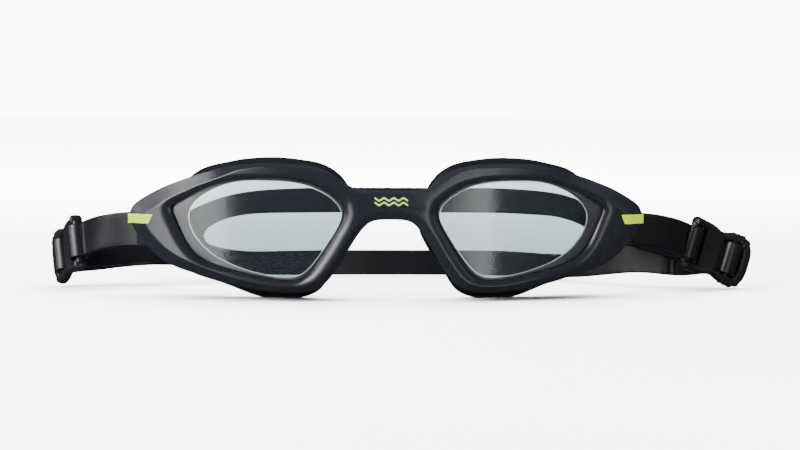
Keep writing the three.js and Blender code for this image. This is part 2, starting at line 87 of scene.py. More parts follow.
# The lens opening beside it, and how far its ramp reaches up the rim.
OPENING = np.array([
    [.187, .688, 4], [.204, .724, 3.6], [.224, .759, 3.2], [.250, .794, 2.8], [.283, .829, 2.4],
    [.338, .862, 2], [.406, .880, 1.8], [.492, .882, 1.8], [.590, .869, 2.2], [.676, .827, 2.8],
    [.756, .759, 3.4], [.812, .693, 3.9], [.831, .663, 4.2], [.836, .638, 4.4], [.833, .606, 4.4],
    [.822, .553, 4.2], [.804, .470, 3.8], [.780, .377, 3.4], [.745, .291, 3], [.699, .229, 2.7],
    [.633, .186, 2.5], [.554, .148, 2.3], [.474, .113, 2.2], [.406, .095, 2.2], [.357, .101, 2.6],
    [.320, .138, 3.2], [.285, .221, 3.8], [.246, .339, 3.9], [.210, .462, 3.9], [.189, .538, 3.9],
    [.181, .583, 3.9], [.178, .618, 4], [.180, .648, 4], [.182, .668, 4]])


def spline(points, at, closed=True):
    """Cubic spline through the points, each span as long as its chord. at counts points, so 2.5
    lies halfway between the third and the fourth."""
    points = np.asarray(points, float)
    count = len(points)
    chords = np.roll(points, -1, 0) - points if closed else np.diff(points, axis=0)
    span = np.maximum(np.linalg.norm(chords, axis=1), 1e-6)
    slope = chords / span[:, None]
    bend = np.eye(count)
    push = np.zeros_like(points)
    inner = np.arange(count) if closed else np.arange(1, count - 1)
    before, after = (inner - 1) % count, (inner + 1) % count
    left = span[before] if closed else span[inner - 1]
    bend[inner, before] = left
    bend[inner, inner] = 2 * (left + span[inner])
    bend[inner, after] = span[inner]
    push[inner] = 6 * (slope[inner] - slope[before])
    curve = np.linalg.solve(bend, push)
    start = np.clip(np.floor(at).astype(int), 0, len(span) - 1)
    end = (start + 1) % count
    h = span[start][:, None]
    t = (at - start)[:, None] * h
    r = h - t
    return (curve[start] * r ** 3 / (6 * h) + curve[end] * t ** 3 / (6 * h)
            + (points[start] / h - curve[start] * h / 6) * r
            + (points[end] / h - curve[end] * h / 6) * t)


def on_rim(shares):
    """x and z in mm from shares of half the width and of the rim's height."""
    return shares[:, :2] * [HALF_WIDTH, RIM_HEIGHT] + [0, BASE]


def wrapped(flat, depth):
    """Points of the flat front view set on the wrap, y = x^2 / 2R, and moved back by depth."""
    x, z = flat[..., 0], flat[..., 1]
    return np.stack([x, x ** 2 / (2 * WRAP) + depth, z], -1)


def nearest(flat, outline, widths):
    """Distance from each point to a closed outline, and the width given at the nearest place."""
    step = np.roll(outline, -1, 0) - outline
    length = (step ** 2).sum(1)
    distance = np.empty(len(flat))
    width = np.empty(len(flat))
    for part in np.array_split(np.arange(len(flat)), 12):
        away = flat[part, None] - outline
        share = np.clip((away * step).sum(2) / length, 0, 1)
        gap = np.linalg.norm(away - share[..., None] * step, axis=2)
        best = gap.argmin(1)
        rows = np.arange(len(part))
        distance[part] = gap[rows, best]
        width[part] = (widths[best] * (1 - share[rows, best])
                       + np.roll(widths, -1)[best] * share[rows, best])
    return distance, width


rim_line = on_rim(EDGE)
rim_turn = np.arange(0, 64, .1)
whole_edge = np.vstack([rim_line, rim_line[-2:0:-1] * [-1, 1]])
whole_chamfer = np.concatenate([EDGE[:, 2], EDGE[-2:0:-1, 2]])
edge_loop = spline(whole_edge, rim_turn)
edge_chamfer = np.interp(rim_turn, np.arange(65), np.append(whole_chamfer, whole_chamfer[0]))
lens_turn = np.arange(0, 34, .1)
opening_loop = spline(on_rim(OPENING), lens_turn)
opening_ramp = np.interp(lens_turn, np.arange(35), np.append(OPENING[:, 2], OPENING[0, 2]))


def face_height(flat):
    """Height of the face over the wrap: the soft least of a chamfer rising from the outer edge, a
    bowl rising from the lens opening with a falling slope, and the crown. A shallow groove runs
    just inside the chamfer of the nose arch."""
    outer, chamfer = nearest(flat, edge_loop, edge_chamfer)
    inner, ramp = nearest(flat, opening_loop, opening_ramp)
    slope = CROWN * outer / chamfer
    bowl = LIP + (CROWN - LIP) * (1 - np.exp(-2.2 * inner / ramp)) / (1 - math.exp(-2.2)) * 1.02
    soft = .07
    height = -soft * np.log(np.exp(-slope / soft) + np.exp(-bowl / soft) + np.exp(-CROWN / soft))
    arch = np.exp(-((flat[:, 0]) / 9.0) ** 4) * np.exp(-((flat[:, 1] - 29.0) / .8) ** 2)
    return height - .28 * arch


def grid_faces(rows, columns, wrap_rows=False, wrap_columns=False):
    """Quads between neighbouring rows and columns of a grid of points."""
    i = np.arange(rows if wrap_rows else rows - 1)
    j = np.arange(columns if wrap_columns else columns - 1)
    i, j = (a.ravel() for a in np.meshgrid(i, j, indexing="ij"))
    k, m = (i + 1) % rows, (j + 1) % columns
    return np.stack([i * columns + j, k * columns + j, k * columns + m, i * columns + m], 1)


def shell(points, wrap_rows=False, wrap_columns=False):
    """Points and quads of one grid surface."""
    rows, columns = points.shape[:2]
    return points.reshape(-1, 3), grid_faces(rows, columns, wrap_rows, wrap_columns)


def capped(points):
    """A grid whose columns close on themselves, with a fan at its first and at its last row."""
    verts, quads = shell(points, wrap_columns=True)
    rows, columns = points.shape[:2]
    last = (rows - 1) * columns
    ring = np.arange(columns)
    after = (ring + 1) % columns
    near, far = len(verts), len(verts) + 1
    verts = np.vstack([verts, points[0].mean(0), points[-1].mean(0)])
    fans = np.vstack([np.stack([np.full(columns, near), ring, after], 1),
                      np.stack([np.full(columns, far), last + after, last + ring], 1)])
    return verts, [*quads.tolist(), *fans.tolist()]


def joined(*shells):
    """Several surfaces as one list of points and one of faces."""
    verts, faces, start = [], [], 0
    for points, polygons in shells:
        verts.append(points)
        faces += [[start + i for i in polygon] for polygon in polygons]
        start += len(points)
    return np.vstack(verts), faces


def mirrored(surface):
    """The same surface on the other side of the bridge."""
    points, polygons = surface
    return points * [-1, 1, 1], [polygon[::-1] for polygon in polygons]


def piece(name, surface, finish, nodes, sharp=35, values=None):
    """A mesh from points in mm on the frame: doubles merged, faces turned outwards, edges sharper
    than the angle kept, attributes added, then its finish and the nodes it stands for."""
    points, polygons = surface
    mesh = bpy.data.meshes.new(name)
    mesh.from_pydata(((np.asarray(points) + MIDDLE) / 1000).tolist(), [],
                     [list(map(int, polygon)) for polygon in polygons])
    for label, amounts in (values or {}).items():
        layer = mesh.attributes.new(label, "FLOAT", "POINT")
        layer.data.foreach_set("value", np.asarray(amounts, np.float32))
    work = bmesh.new()
    work.from_mesh(mesh)
    bmesh.ops.remove_doubles(work, verts=work.verts, dist=2e-6)
    bmesh.ops.dissolve_degenerate(work, edges=work.edges, dist=1e-7)
    bmesh.ops.recalc_face_normals(work, faces=work.faces)
    for face in work.faces:
        face.smooth = True
    work.to_mesh(mesh)
    work.free()
    mesh.set_sharp_from_angle(angle=math.radians(sharp))
    mesh.materials.append(finish)
    thing = bpy.data.objects.new(name, mesh)
    bpy.context.scene.collection.objects.link(thing)
    if nodes:
        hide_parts(*nodes)
    return thing


class Wire:
    """One output of a material's nodes, so that its maths reads as an expression."""

    def __init__(self, coat, socket):
        self.coat, self.socket = coat, socket

    def maths(self, operation, *others):
        return self.coat.node("ShaderNodeMath", {"operation": operation},
                              dict(enumerate([self, *others])))

    def __add__(self, other):
        return self.maths("ADD", other)

    def __mul__(self, other):
        return self.maths("MULTIPLY", other)

    def __sub__(self, other):
        return self.maths("SUBTRACT", other)

    def __rsub__(self, other):
        return (self * -1) + other

    __radd__, __rmul__ = __add__, __mul__


class Coat:
    """A material: its shader's constant sockets, then whatever varies over the surface."""

    def __init__(self, name, **constants):
        self.material = bpy.data.materials.new(name)
        self.material.use_nodes = True
        self.tree = self.material.node_tree
        self.shader = self.tree.nodes["Principled BSDF"]
        for label, value in constants.items():
            socket = self.shader.inputs[label.replace("_", " ")]
            socket.default_value = (*value, 1.0) if socket.type == "RGBA" else value

    def node(self, kind, settings=None, sockets=None, out=0):
        """Any node: its settings first, a ramp's stops among them, then its sockets' values."""
        made = self.tree.nodes.new(kind)
        for label, value in (settings or {}).items():
            if label == "stops":
                ramp = made.color_ramp
                while len(ramp.elements) < len(value):
                    ramp.elements.new(.5)
                for element, (place, colour) in zip(ramp.elements, value):
                    element.position, element.color = place, (*colour, 1)
            else:
                setattr(made, label, value)
        for label, value in (sockets or {}).items():
            if isinstance(value, Wire):
                self.tree.links.new(value.socket, made.inputs[label])
            else:
                made.inputs[label].default_value = value
        return Wire(self, made.outputs[out])

    def place(self):
        """Object coordinates, in metres."""
        return self.node("ShaderNodeTexCoord", out="Object")

    def place_in_mm(self):
        """The three object coordinates in mm, counted from the front of the bridge."""
        split = self.node("ShaderNodeSeparateXYZ", {}, {0: self.place()}).socket.node.outputs
        return [Wire(self, split[k]) * 1000 - float(MIDDLE[k]) for k in range(3)]

    def noise(self, scale, detail=3.0, at=None, roughness=.5):
        """Noise about 0.5, its grain 1/scale metres."""
        return self.node("ShaderNodeTexNoise", {}, {
            "Vector": at or self.place(), "Scale": scale, "Detail": detail,
            "Roughness": roughness})

    def mix(self, share, first, second):
        """Colour between two colours or wires by a share."""
        def full(value):
            return value if isinstance(value, Wire) else (*value, 1.0)
        return self.node("ShaderNodeMix", {"data_type": "RGBA"}, {
            "Factor": share, 6: full(first), 7: full(second)}, out=2)

    def tint(self, solid, colour):
        """Clear and coloured like stained glass, except for the share that is solid."""
        clear = self.node("ShaderNodeBsdfTransparent", {}, {"Color": (*colour, 1)})
        blend = self.node("ShaderNodeMixShader", {}, {
            "Fac": solid, 1: clear, 2: Wire(self, self.shader.outputs[0])})
        self.tree.links.new(blend.socket, self.tree.nodes["Material Output"].inputs["Surface"])

    def feed(self, label, wire):
        self.tree.links.new(wire.socket, self.shader.inputs[label])

    def bump(self, height, depth, strength=1.0):
        """Surface height in units of depth metres."""
        self.feed("Normal", self.node("ShaderNodeBump", {}, {
            "Height": height, "Distance": depth, "Strength": strength}))


def moulded(name, dark, light, gloss, grain):
    """Satin moulding: a fine spark-eroded grain, broad soft changes of shade and gloss, and small
    scuffs that lighten it."""
    coat = Coat(name, Specular_IOR_Level=.17)
    broad = coat.noise(45, 2)
    fine = coat.noise(5200, 2)
    scuff = coat.noise(900, 4, roughness=.7)
    worn = coat.node("ShaderNodeMapRange", {}, {"Value": scuff, "From Min": .62, "From Max": .78})
    coat.feed("Base Color", coat.mix(broad * .7 + worn * .25, dark, light))
    coat.feed("Roughness", gloss + (broad - .5) * .08 + worn * .06 + (fine - .5) * .05)
    coat.bump(fine + scuff * .4, grain)
    return coat


def rim_grid(steps=12, rows=34):
    """Right half of the frame: sections across the rim, carried once round the lens opening. Each
    is the face from the outer edge to the opening, the lip, the rebate, the back and the edge."""
    turn = np.concatenate([np.arange(0, 32, 1 / steps), 32 + np.arange(0, 2, 1 / steps)])
    outer = spline(whole_edge, np.minimum(turn, 32))
    bridge = turn > 32
    level = np.interp(turn[bridge], [32, 33, 34], [rim_line[-1, 1], 30.0, rim_line[0, 1]])
    outer[bridge] = np.stack([np.zeros(bridge.sum()), level], 1)
    outer[np.abs(outer[:, 0]) < 1e-6, 0] = 0
    inner = spline(on_rim(OPENING), turn)
    across = inner - outer
    width = np.linalg.norm(across, axis=1)[:, None]
    share = np.linspace(0, 1, rows)
    flat = outer[:, None] + share[None, :, None] * across[:, None]
    height = face_height(flat.reshape(-1, 2)).reshape(flat.shape[:2])
    face = wrapped(flat, -height)
    seat = inner - across * np.minimum(REBATE / width, .85)

    def ring(line, depth):
        return wrapped(line, np.full(len(line), depth))[:, None]

    def inset(amount):
        moved = outer + across * np.minimum(amount / width, .4)
        moved[bridge | (np.abs(outer[:, 0]) < 1e-6), 0] = 0
        return moved
    back = [ring(seat + (inset(.8) - seat) * k, BACK) for k in np.linspace(0, 1, 6)]
    parts = [face, ring(inner, .2), ring(inner, LIP_BACK), ring(seat, LIP_BACK), *back,
             ring(inset(.25), BACK - .25), ring(outer, BACK - .8), ring(outer, .9),
             ring(outer, .35)]
    return np.concatenate(parts, 1)


grid = rim_grid()
points, quads = shell(grid, wrap_rows=True, wrap_columns=True)
open_quads = quads[~(np.abs(points[quads][:, :, 0]) < 1e-5).all(1)].tolist()
right_rim = (points, open_quads)

SOCKET_AT = np.array([75.5, 24.412, 21.3])
SOCKET_HOLE, SOCKET_SKIN, SOCKET_TALL = 2.3, 4.0, 4.8


def socket_grid():
    """C-shaped wall behind the wing: its section goes out round the back from one side of the
    mouth to the other and returns inside, and is carried up with rounded top and bottom edges."""
    outer = np.radians(np.linspace(84, 350, 40))
    inner = outer[::-1]
    lift = np.array([-1, -.97, -.9, .9, .97, 1]) * SOCKET_TALL
    slim = np.array([.35, .12, 0, 0, .12, .35])
    rows = []
    for z, cut in zip(lift, slim):
        ring = [np.stack([np.cos(a) * r, np.sin(a) * r], 1)
                for a, r in ((outer, SOCKET_SKIN - cut), (inner, SOCKET_HOLE + cut))]
        line = np.vstack(ring)
        rows.append(np.column_stack([line, np.full(len(line), z)]))
    wall = np.array(rows) + SOCKET_AT
    verts, quads = shell(wall, wrap_columns=True)
    count = len(outer)
    lids = []
    for row in (0, len(lift) - 1):
        base = row * 2 * count
        for i in range(count - 1):
            lids.append([base + i, base + i + 1, base + 2 * count - 2 - i, base + 2 * count - 1 - i])
    return verts, [*quads.tolist(), *lids]


frame_coat = moulded("frame_satin_plastic", (.0029, .0032, .0046), (.0050, .0055, .0074), .25,
                     2.0e-5)

# Two lime wave lines are printed on the front of the bridge.
UPPER_WAVE, LOWER_WAVE = 31.9, 30.5    # their heights
WAVE_TURN, WAVE_RISE = 2.1, .38        # turn per mm along the bridge, and height of a crest
PRINT_HALF = 4.6                       # half the length of the lines
where_x, where_y, where_z = frame_coat.place_in_mm()
ripple = (where_x * WAVE_TURN).maths("SINE") * WAVE_RISE
upper = (where_z - UPPER_WAVE - ripple).maths("ABSOLUTE")
lower = (where_z - LOWER_WAVE - ripple).maths("ABSOLUTE")
past_end = (where_x.maths("ABSOLUTE") - PRINT_HALF) * .6
outside = past_end.maths("MAXIMUM", where_y)
mark = 1 - frame_coat.node("ShaderNodeMapRange", {}, {
    "Value": upper.maths("MINIMUM", lower).maths("MAXIMUM", outside),
    "From Min": .26, "From Max": .36})
plain = Wire(frame_coat, frame_coat.shader.inputs["Base Color"].links[0].from_socket)
frame_coat.feed("Base Color", frame_coat.mix(mark, plain, (.16, .21, .05)))

frame_piece = piece("frame_shell", joined(right_rim, mirrored(right_rim), socket_grid(),
                                          mirrored(socket_grid())),
                    frame_coat.material, ["frame"])
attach(frame_piece, "goggle_frame")

# --- Wing inlays -------------------------------------------------------------------------------
# A lime bar let into each wing, pressed in from the front. It tapers towards the lens and is
# wrapped over the wing's tip.

INLAY_TIP = 81.8
INLAY_LONG = 7.4
INLAY_TALL = 3.0
INLAY_LEVEL = 25.0


def inlay_grid(rows=26, columns=30):
    """A pillow over the bar's outline: height follows the wing's face plus a little, and falls
    off steeply at the rim. The last row turns down over the tip."""
    v = np.linspace(-1, 1, rows)[:, None]
    u = np.linspace(0, 1, columns)[None]
    slant = .65 * v * (1 - u)
    x = INLAY_TIP - INLAY_LONG * (1 - u) - slant
    z = INLAY_LEVEL + v * INLAY_TALL / 2 + 0 * u
    flat = np.stack([x + 0 * v, z], -1)
    inside = np.minimum(flat[..., 0], HALF_WIDTH - .35)
    height = face_height(np.stack([inside, z], -1).reshape(-1, 2)).reshape(z.shape)
    rim = np.minimum.reduce([(1 - np.abs(v)) * INLAY_TALL / 2 + 0 * u,
                             u * INLAY_LONG + 0 * v, (1 - u) * INLAY_LONG + 0 * v])
    proud = .24 * np.sqrt(np.clip(1 - (1 - np.clip(rim / .35, 0, 1)) ** 2, 0, 1)) - .06
    front = wrapped(flat, -(height + proud))
    back = wrapped(flat, 0 * height + .7)
    return front, back


def slab(front, back):
    """Two grids of one size joined round their rims."""
    rows, columns = front.shape[:2]
    top, quads = shell(front)
    under, below = shell(back)
    edge = np.concatenate([np.arange(columns), columns * np.arange(1, rows) + columns - 1,
                           (rows - 1) * columns + np.arange(columns - 2, -1, -1),
                           columns * np.arange(rows - 2, 0, -1)])
    following = np.roll(edge, -1)
    count = len(top)
    sides = np.stack([edge, following, following + count, edge + count], 1)
    return np.vstack([top, under]), [*quads.tolist(), *(below[:, ::-1] + count).tolist(),
                                     *sides.tolist()]


lime_coat = Coat("lime_inlay_plastic", Specular_IOR_Level=.2)
lime_cloud = lime_coat.noise(260, 3)
lime_grain = lime_coat.noise(4200, 2)
lime_coat.feed("Base Color", lime_coat.mix(lime_cloud, (.15, .22, .0), (.19, .265, .0)))
lime_coat.feed("Roughness", .34 + (lime_cloud - .5) * .12)
lime_coat.bump(lime_grain, 1.5e-5)
for side, sign in (("left", -1), ("right", 1)):
    bar = slab(*inlay_grid())
    inlay = piece(f"wing_inlay_{side}", bar if sign > 0 else mirrored(bar), lime_coat.material,
                  [f"inlay_{side}"])
    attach(inlay, "goggle_frame")

# --- Lenses ------------------------------------------------------------------------------------
# Clear polycarbonate with a faint grey-green tint. A thin flange lies in the frame's rebate and
# the window stands out of it with a polished bevel round its edge. The bright line of light
# along the bevel is a painted glint, a pale base colour on the bevel.

LENS_FRONT = 1.3
LENS_THICK = 1.8
PAD_FRONT = .45
WINDOW_RISE = .55
WINDOW = np.array([
    [.771, .598], [.760, .661], [.722, .741], [.664, .809], [.588, .857], [.475, .869],
    [.380, .859], [.304, .824], [.247, .771], [.205, .701], [.185, .623], [.194, .538],
    [.229, .412], [.285, .241], [.323, .158], [.362, .118], [.400, .111], [.456, .123],
    [.571, .181], [.665, .269], [.722, .364], [.760, .480]])
EYE = np.array([40.0, 22.3])


def by_angle(loop, angles):
    """A closed loop round the eye read at given angles about the eye's middle."""
    spoke = loop - EYE
    turn = np.arctan2(spoke[:, 1], spoke[:, 0])
    order = np.argsort(turn)
    reach = np.interp(angles, turn[order], np.linalg.norm(spoke, axis=1)[order], period=2 * math.pi)
    return EYE + reach[:, None] * np.stack([np.cos(angles), np.sin(angles)], 1)


EYE_TURN = np.linspace(-math.pi, math.pi, 361)[:-1]
window_edge = by_angle(spline(on_rim(WINDOW), np.arange(0, 22, .05)), EYE_TURN)
opening_edge = by_angle(opening_loop, EYE_TURN)


def outward(line, amount):
    """A closed line moved outwards along its own normals."""
    along = np.roll(line, -1, 0) - np.roll(line, 1, 0)
    normal = np.stack([along[:, 1], -along[:, 0]], 1)
    return line + amount * normal / np.linalg.norm(normal, axis=1)[:, None]


def lens_grid():
    """Rings from the window's middle over its bevel and the flange, round the flange's edge and
    back to the middle behind. Also returns how much of each ring's colour is the painted glint of
    the bevel, and how much belongs to the flange."""
    rise = PAD_FRONT - WINDOW_RISE
    rings, bevel, flanges = [], [], []

    # share is how much of the ring gets the painted glint of the bevel; solid marks the flange.
    def add(line, depth, share=0.0, solid=0.0):
        rings.append(wrapped(line, np.full(len(line), depth)))
        bevel.append(np.full(len(line), share))
        flanges.append(np.full(len(line), solid))
    top = outward(window_edge, -.30)
    for k in (.02, .25, .5, .75, .93, .99):
        add(EYE + (top - EYE) * k, rise)
    add(top, rise, .5)
    add(outward(window_edge, -.24), rise + .03, 1)
    add(outward(window_edge, -.05), rise + .3, 1)
    add(window_edge, rise + .48, .6)
    add(outward(window_edge, .05), PAD_FRONT, 0, .9)
    flange = outward(opening_edge, REBATE - .3)
    pad = by_angle(outward(opening_edge, -.15), EYE_TURN)
    near = np.linalg.norm(pad - EYE, axis=1) < np.linalg.norm(window_edge - EYE, axis=1) + .2
    pad[near] = outward(window_edge, .2)[near]
    add(outward(window_edge, .12), PAD_FRONT, 0, 1)
    add(window_edge + (pad - window_edge) * .9, PAD_FRONT, 0, 1)
    add(pad, PAD_FRONT + .12, 0, 1)
    add(pad, LENS_FRONT, 0, 1)
    add(flange, LENS_FRONT, 0, 1)
    add(flange, LENS_FRONT + LENS_THICK, 0, 1)
    add(outward(window_edge, .2), LENS_FRONT + LENS_THICK, 0, 1)
    add(window_edge, LENS_FRONT + LENS_THICK, 0, 0)
    for k in (.97, .7, .4, .02):
        add(EYE + (window_edge - EYE) * k, LENS_FRONT + LENS_THICK)
    return np.array(rings), np.concatenate(bevel), np.concatenate(flanges)


lens_coat = Coat("lens_tinted_polycarbonate", IOR=1.5)
lens_haze = lens_coat.noise(60, 2)
# The bevel attribute carries a painted glint: where it is set, the base colour turns pale grey and
# more solid, standing in for the light caught by the polished bevel. It also makes the bevel a
# little rougher.
lens_painted_glint = lens_coat.node("ShaderNodeAttribute", {"attribute_name": "bevel"}, out="Fac")
lens_rim = lens_coat.node("ShaderNodeAttribute", {"attribute_name": "flange"}, out="Fac")
glass_and_painted_glint = lens_coat.mix(lens_painted_glint, (.0085, .0105, .0130), (.30, .33, .34))
lens_coat.feed("Base Color", lens_coat.mix(lens_rim, glass_and_painted_glint, (.0046, .0051, .0068)))
solid = (.36 + (lens_haze - .5) * .03 + lens_painted_glint * .35 + lens_rim).maths("MINIMUM", 1.0)
lens_coat.tint(solid, (.51, .575, .58))
lens_coat.feed("Roughness", .12 + lens_haze * .04 + lens_painted_glint * .06 + lens_rim * .38)
rings, ring_painted_glint, ring_flange = lens_grid()
for side, sign in (("left", -1), ("right", 1)):
    disc = capped(rings)
    # The bevel values mark where the lens gets its painted glint.
    lens = piece(f"lens_{side}_window", disc if sign > 0 else mirrored(disc), lens_coat.material,
                 [f"lens_{side}"], sharp=25,
                 values={"bevel": np.append(ring_painted_glint, [0, 0]),
                         "flange": np.append(ring_flange, [0, 0])})
    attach(lens, "goggle_frame")

# --- Seal carriers and seals -------------------------------------------------------------------
# A thin rigid ring behind each lens holds it in the rebate. The soft silicone seal is moulded on
# it and flares back to a rolled lip that meets the face, deeper at the temple.

CARRIER_LIP, CARRIER_FRONT, CARRIER_BACK = 3.4, 4.8, 6.4    # depths behind the wrap
SEAL_DEEP, TEMPLE_DEEP = 8.6, 6.0
SEAL_EDGE = np.array([
    [1.12, .67], [1.07, .76], [1.01, .85], [.94, .917], [.844, .956], [.744, .985], [.618, 1.0],
    [.542, 1.0], [.442, .986], [.342, .959], [.242, .874], [.19, .76], [.17, .64], [.155, .50],
    [.18, .41], [.232, .29], [.292, .17], [.344, .065], [.394, .023], [.45, 0], [.63, 0],
    [.747, .050], [.847, .099], [.93, .130], [1.04, .20], [1.09, .35], [1.12, .50]])
seal_line = spline(SEAL_EDGE * [62.0, 44.3], np.arange(0, 27, .05))
seal_edge = by_angle(seal_line, EYE_TURN)
seal_edge[:, 1] = np.maximum(seal_edge[:, 1], .02)
rim_edge = by_angle(edge_loop[edge_loop[:, 0] > 0], EYE_TURN)


def beside_opening(amount, most=.75):
    """The opening's edge moved outwards, but never past a share of the rim."""
    moved = outward(opening_edge, amount)
    limit = opening_edge + (rim_edge - opening_edge) * most
    over = np.linalg.norm(moved - EYE, axis=1) > np.linalg.norm(limit - EYE, axis=1)
    moved[over] = limit[over]
    return moved


def ring_section(stations, steps=6):
    """Closed section through a ring at every angle: a smooth closed curve through stations, each
    a line round the eye and its depth behind the wrap."""
    lines = np.array([wrapped(line, np.broadcast_to(depth, len(line)))
                      for line, depth in stations])
    count = len(lines)
    turn = np.arange(0, count, 1 / steps)
    flat = lines.transpose(0, 2, 1).reshape(count, -1)
    curve = spline(flat, turn)
    return curve.reshape(len(turn), 3, -1).transpose(2, 0, 1)


carrier_coat = moulded("seal_carrier_plastic", (.0035, .0038, .0045), (.006, .0064, .0074), .42,
                       2e-5)
silicone = Coat("seal_silicone", Specular_IOR_Level=.12)
silk = silicone.noise(70, 3)
dust = silicone.noise(3000, 3, roughness=.65)
silicone.feed("Base Color", silicone.mix(silk * .6 + dust * .3, (.0010, .0011, .0015),
                                         (.0024, .0026, .0033)))
silicone.feed("Roughness", .42 + (silk - .5) * .16)
silicone.bump(dust, 2e-5)
temple = np.clip((opening_edge[:, 0] - 40) / 28, 0, 1)
temple = temple * temple * (3 - 2 * temple) * TEMPLE_DEEP
foot, shoulder = beside_opening(.6), beside_opening(3.0)
front = CARRIER_BACK + .3
lip_from, lip_to = front + SEAL_DEEP - 2.6 + temple, front + SEAL_DEEP + temple
inside = (seal_edge + foot) / 2
seal_ring = ring_section([
    (foot, front), ((foot + shoulder) / 2, front - .02), (shoulder, front + .1),
    (shoulder + (seal_edge - shoulder) * .45, front + (lip_from - front) * .45),
    (seal_edge + (shoulder - seal_edge) * .04, lip_from - .6),
    (seal_edge, (lip_from + lip_to) / 2),
    (seal_edge + (inside - seal_edge) * .12, lip_to - .1),
    ((seal_edge + inside) / 2, lip_to + .5), (inside, lip_to + .2),
    (inside + (foot - inside) * .5, lip_from + (front - lip_from) * .15),
    (foot + (inside - foot) * .1, lip_from + (front - lip_from) * .45)])
seal_ring[..., 2] = np.maximum(seal_ring[..., 2], .02)
carrier_ring = np.array([wrapped(line, np.full(len(line), depth)) for line, depth in (
    (beside_opening(.1), CARRIER_LIP), (beside_opening(.9), CARRIER_LIP),
    (beside_opening(.9), CARRIER_FRONT), (beside_opening(2.9), CARRIER_FRONT),
    (beside_opening(3.0), CARRIER_FRONT + .15), (beside_opening(3.0), CARRIER_BACK - .15),
    (beside_opening(2.9), CARRIER_BACK), (beside_opening(.25), CARRIER_BACK),
    (beside_opening(.1), CARRIER_BACK - .2))])
for side, sign in (("left", -1), ("right", 1)):
    ring = shell(carrier_ring.transpose(1, 0, 2), wrap_rows=True, wrap_columns=True)
    carrier = piece(f"carrier_{side}_ring", ring if sign > 0 else mirrored(ring),
                    carrier_coat.material, [f"seal_carrier_{side}"])
    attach(carrier, "goggle_frame")
    ring = shell(seal_ring, wrap_rows=True, wrap_columns=True)
    seal = piece(f"seal_{side}_lip", ring if sign > 0 else mirrored(ring), silicone.material,
                 [f"seal_{side}"], sharp=70)
    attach(seal, "goggle_frame")

# --- Side straps -------------------------------------------------------------------------------
# Short soft straps. Each has a moulded bead that turns in the socket behind the wing, a flat band
# that bows outwards, and an eye moulded round the buckle's first bar.

STRAP_THICK = 1.4
STRAP_TALL = 11.0
BEAD = 2.0
BAR = 1.6
EYE_REACH = BAR + .3 + STRAP_THICK / 2     # from a bar's middle to the middle of the strap round it


def section_loop(thick, tall, corner, round_steps=7, side_steps=8):
    """Rounded rectangle about the origin, half thick by half tall, first at its lower corner."""
    quarter = np.linspace(0, math.pi / 2, round_steps)
    arcs = []
    for k, (sx, sz) in enumerate(((1, -1), (1, 1), (-1, 1), (-1, -1))):
        angle = quarter - math.pi / 2 + k * math.pi / 2
        centre = np.array([sx * (thick - corner), sz * (tall - corner)])
        arcs.append(centre + corner * np.stack([np.cos(angle), np.sin(angle)], 1))
    sides = []
    for k in range(4):
        a, b = arcs[k][-1], arcs[(k + 1) % 4][0]
        steps = side_steps if k % 2 == 0 else 1
        share = np.linspace(0, 1, steps + 1)[1:-1, None]
        sides.append(a + (b - a) * share)
    return np.vstack([line for pair in zip(arcs, sides) for line in pair])


def sweep(centres, ups, thick, tall, corner=.45, closed=False):
    """Rounded rectangle carried along a line: its tall side along up, its thin side across. thick
    and tall are half its sizes and may change along the line."""
    along = np.gradient(centres, axis=0)
    if closed:
        along = np.roll(centres, -1, 0) - np.roll(centres, 1, 0)
    across = np.cross(along, ups)
    across /= np.linalg.norm(across, axis=1)[:, None]
    thick = np.broadcast_to(thick, len(centres))
    tall = np.broadcast_to(tall, len(centres))
    loops = np.array([section_loop(t, h, min(corner, t * .95)) for t, h in zip(thick, tall)])
    return centres[:, None] + across[:, None] * loops[..., :1] + ups[:, None] * loops[..., 1:]


def joint_place(name):
    """A joint's pivot in mm on the frame, and its axis."""
    found = next(j for j in frame["joints"] if j["name"] == name)
    return np.array(found["pos_m"]) * 1000 - MIDDLE, np.array(found["axis"])


def side_axes(side, sign):
    """The arm's and the buckle's places: wing socket, first bar, and the buckle's own directions
    outwards, towards the head and along its bars."""
    socket, _ = joint_place(f"strap_swing_{side}")
    bar, axis = joint_place(f"buckle_turn_{side}")
    bars = axis * np.sign(axis[2])
    level = bars[:2] / np.linalg.norm(bars[:2])
    head = sign * np.array([-level[1], level[0], 0])
    outwards = sign * np.cross(head, bars)
    return socket, bar, outwards, head, bars / np.linalg.norm(bars)


def strap_coat(name, dark, light):
    """Silicone: even shade with soft clouds, a bloom of dust and faint lines along the band."""
    coat = Coat(name, Specular_IOR_Level=.2)
    cloud = coat.noise(55, 3)
    bloom = coat.noise(2600, 3, roughness=.7)
    flow = coat.node("ShaderNodeMapping", {}, {"Vector": coat.place(), "Scale": (.12, .12, 1)})
    line = coat.noise(2200, 2, at=flow)
    coat.feed("Base Color", coat.mix(cloud * .6 + bloom * .25, dark, light))
    coat.feed("Roughness", .36 + (cloud - .5) * .14 + (bloom - .5) * .08)
    coat.bump(bloom * .5 + line * .6, 2.2e-5)
    return coat


strap_silicone = strap_coat("strap_silicone", (.0007, .0008, .0014), (.0016, .0018, .0028))
BOW = {"left": 2.6, "right": 2.0}


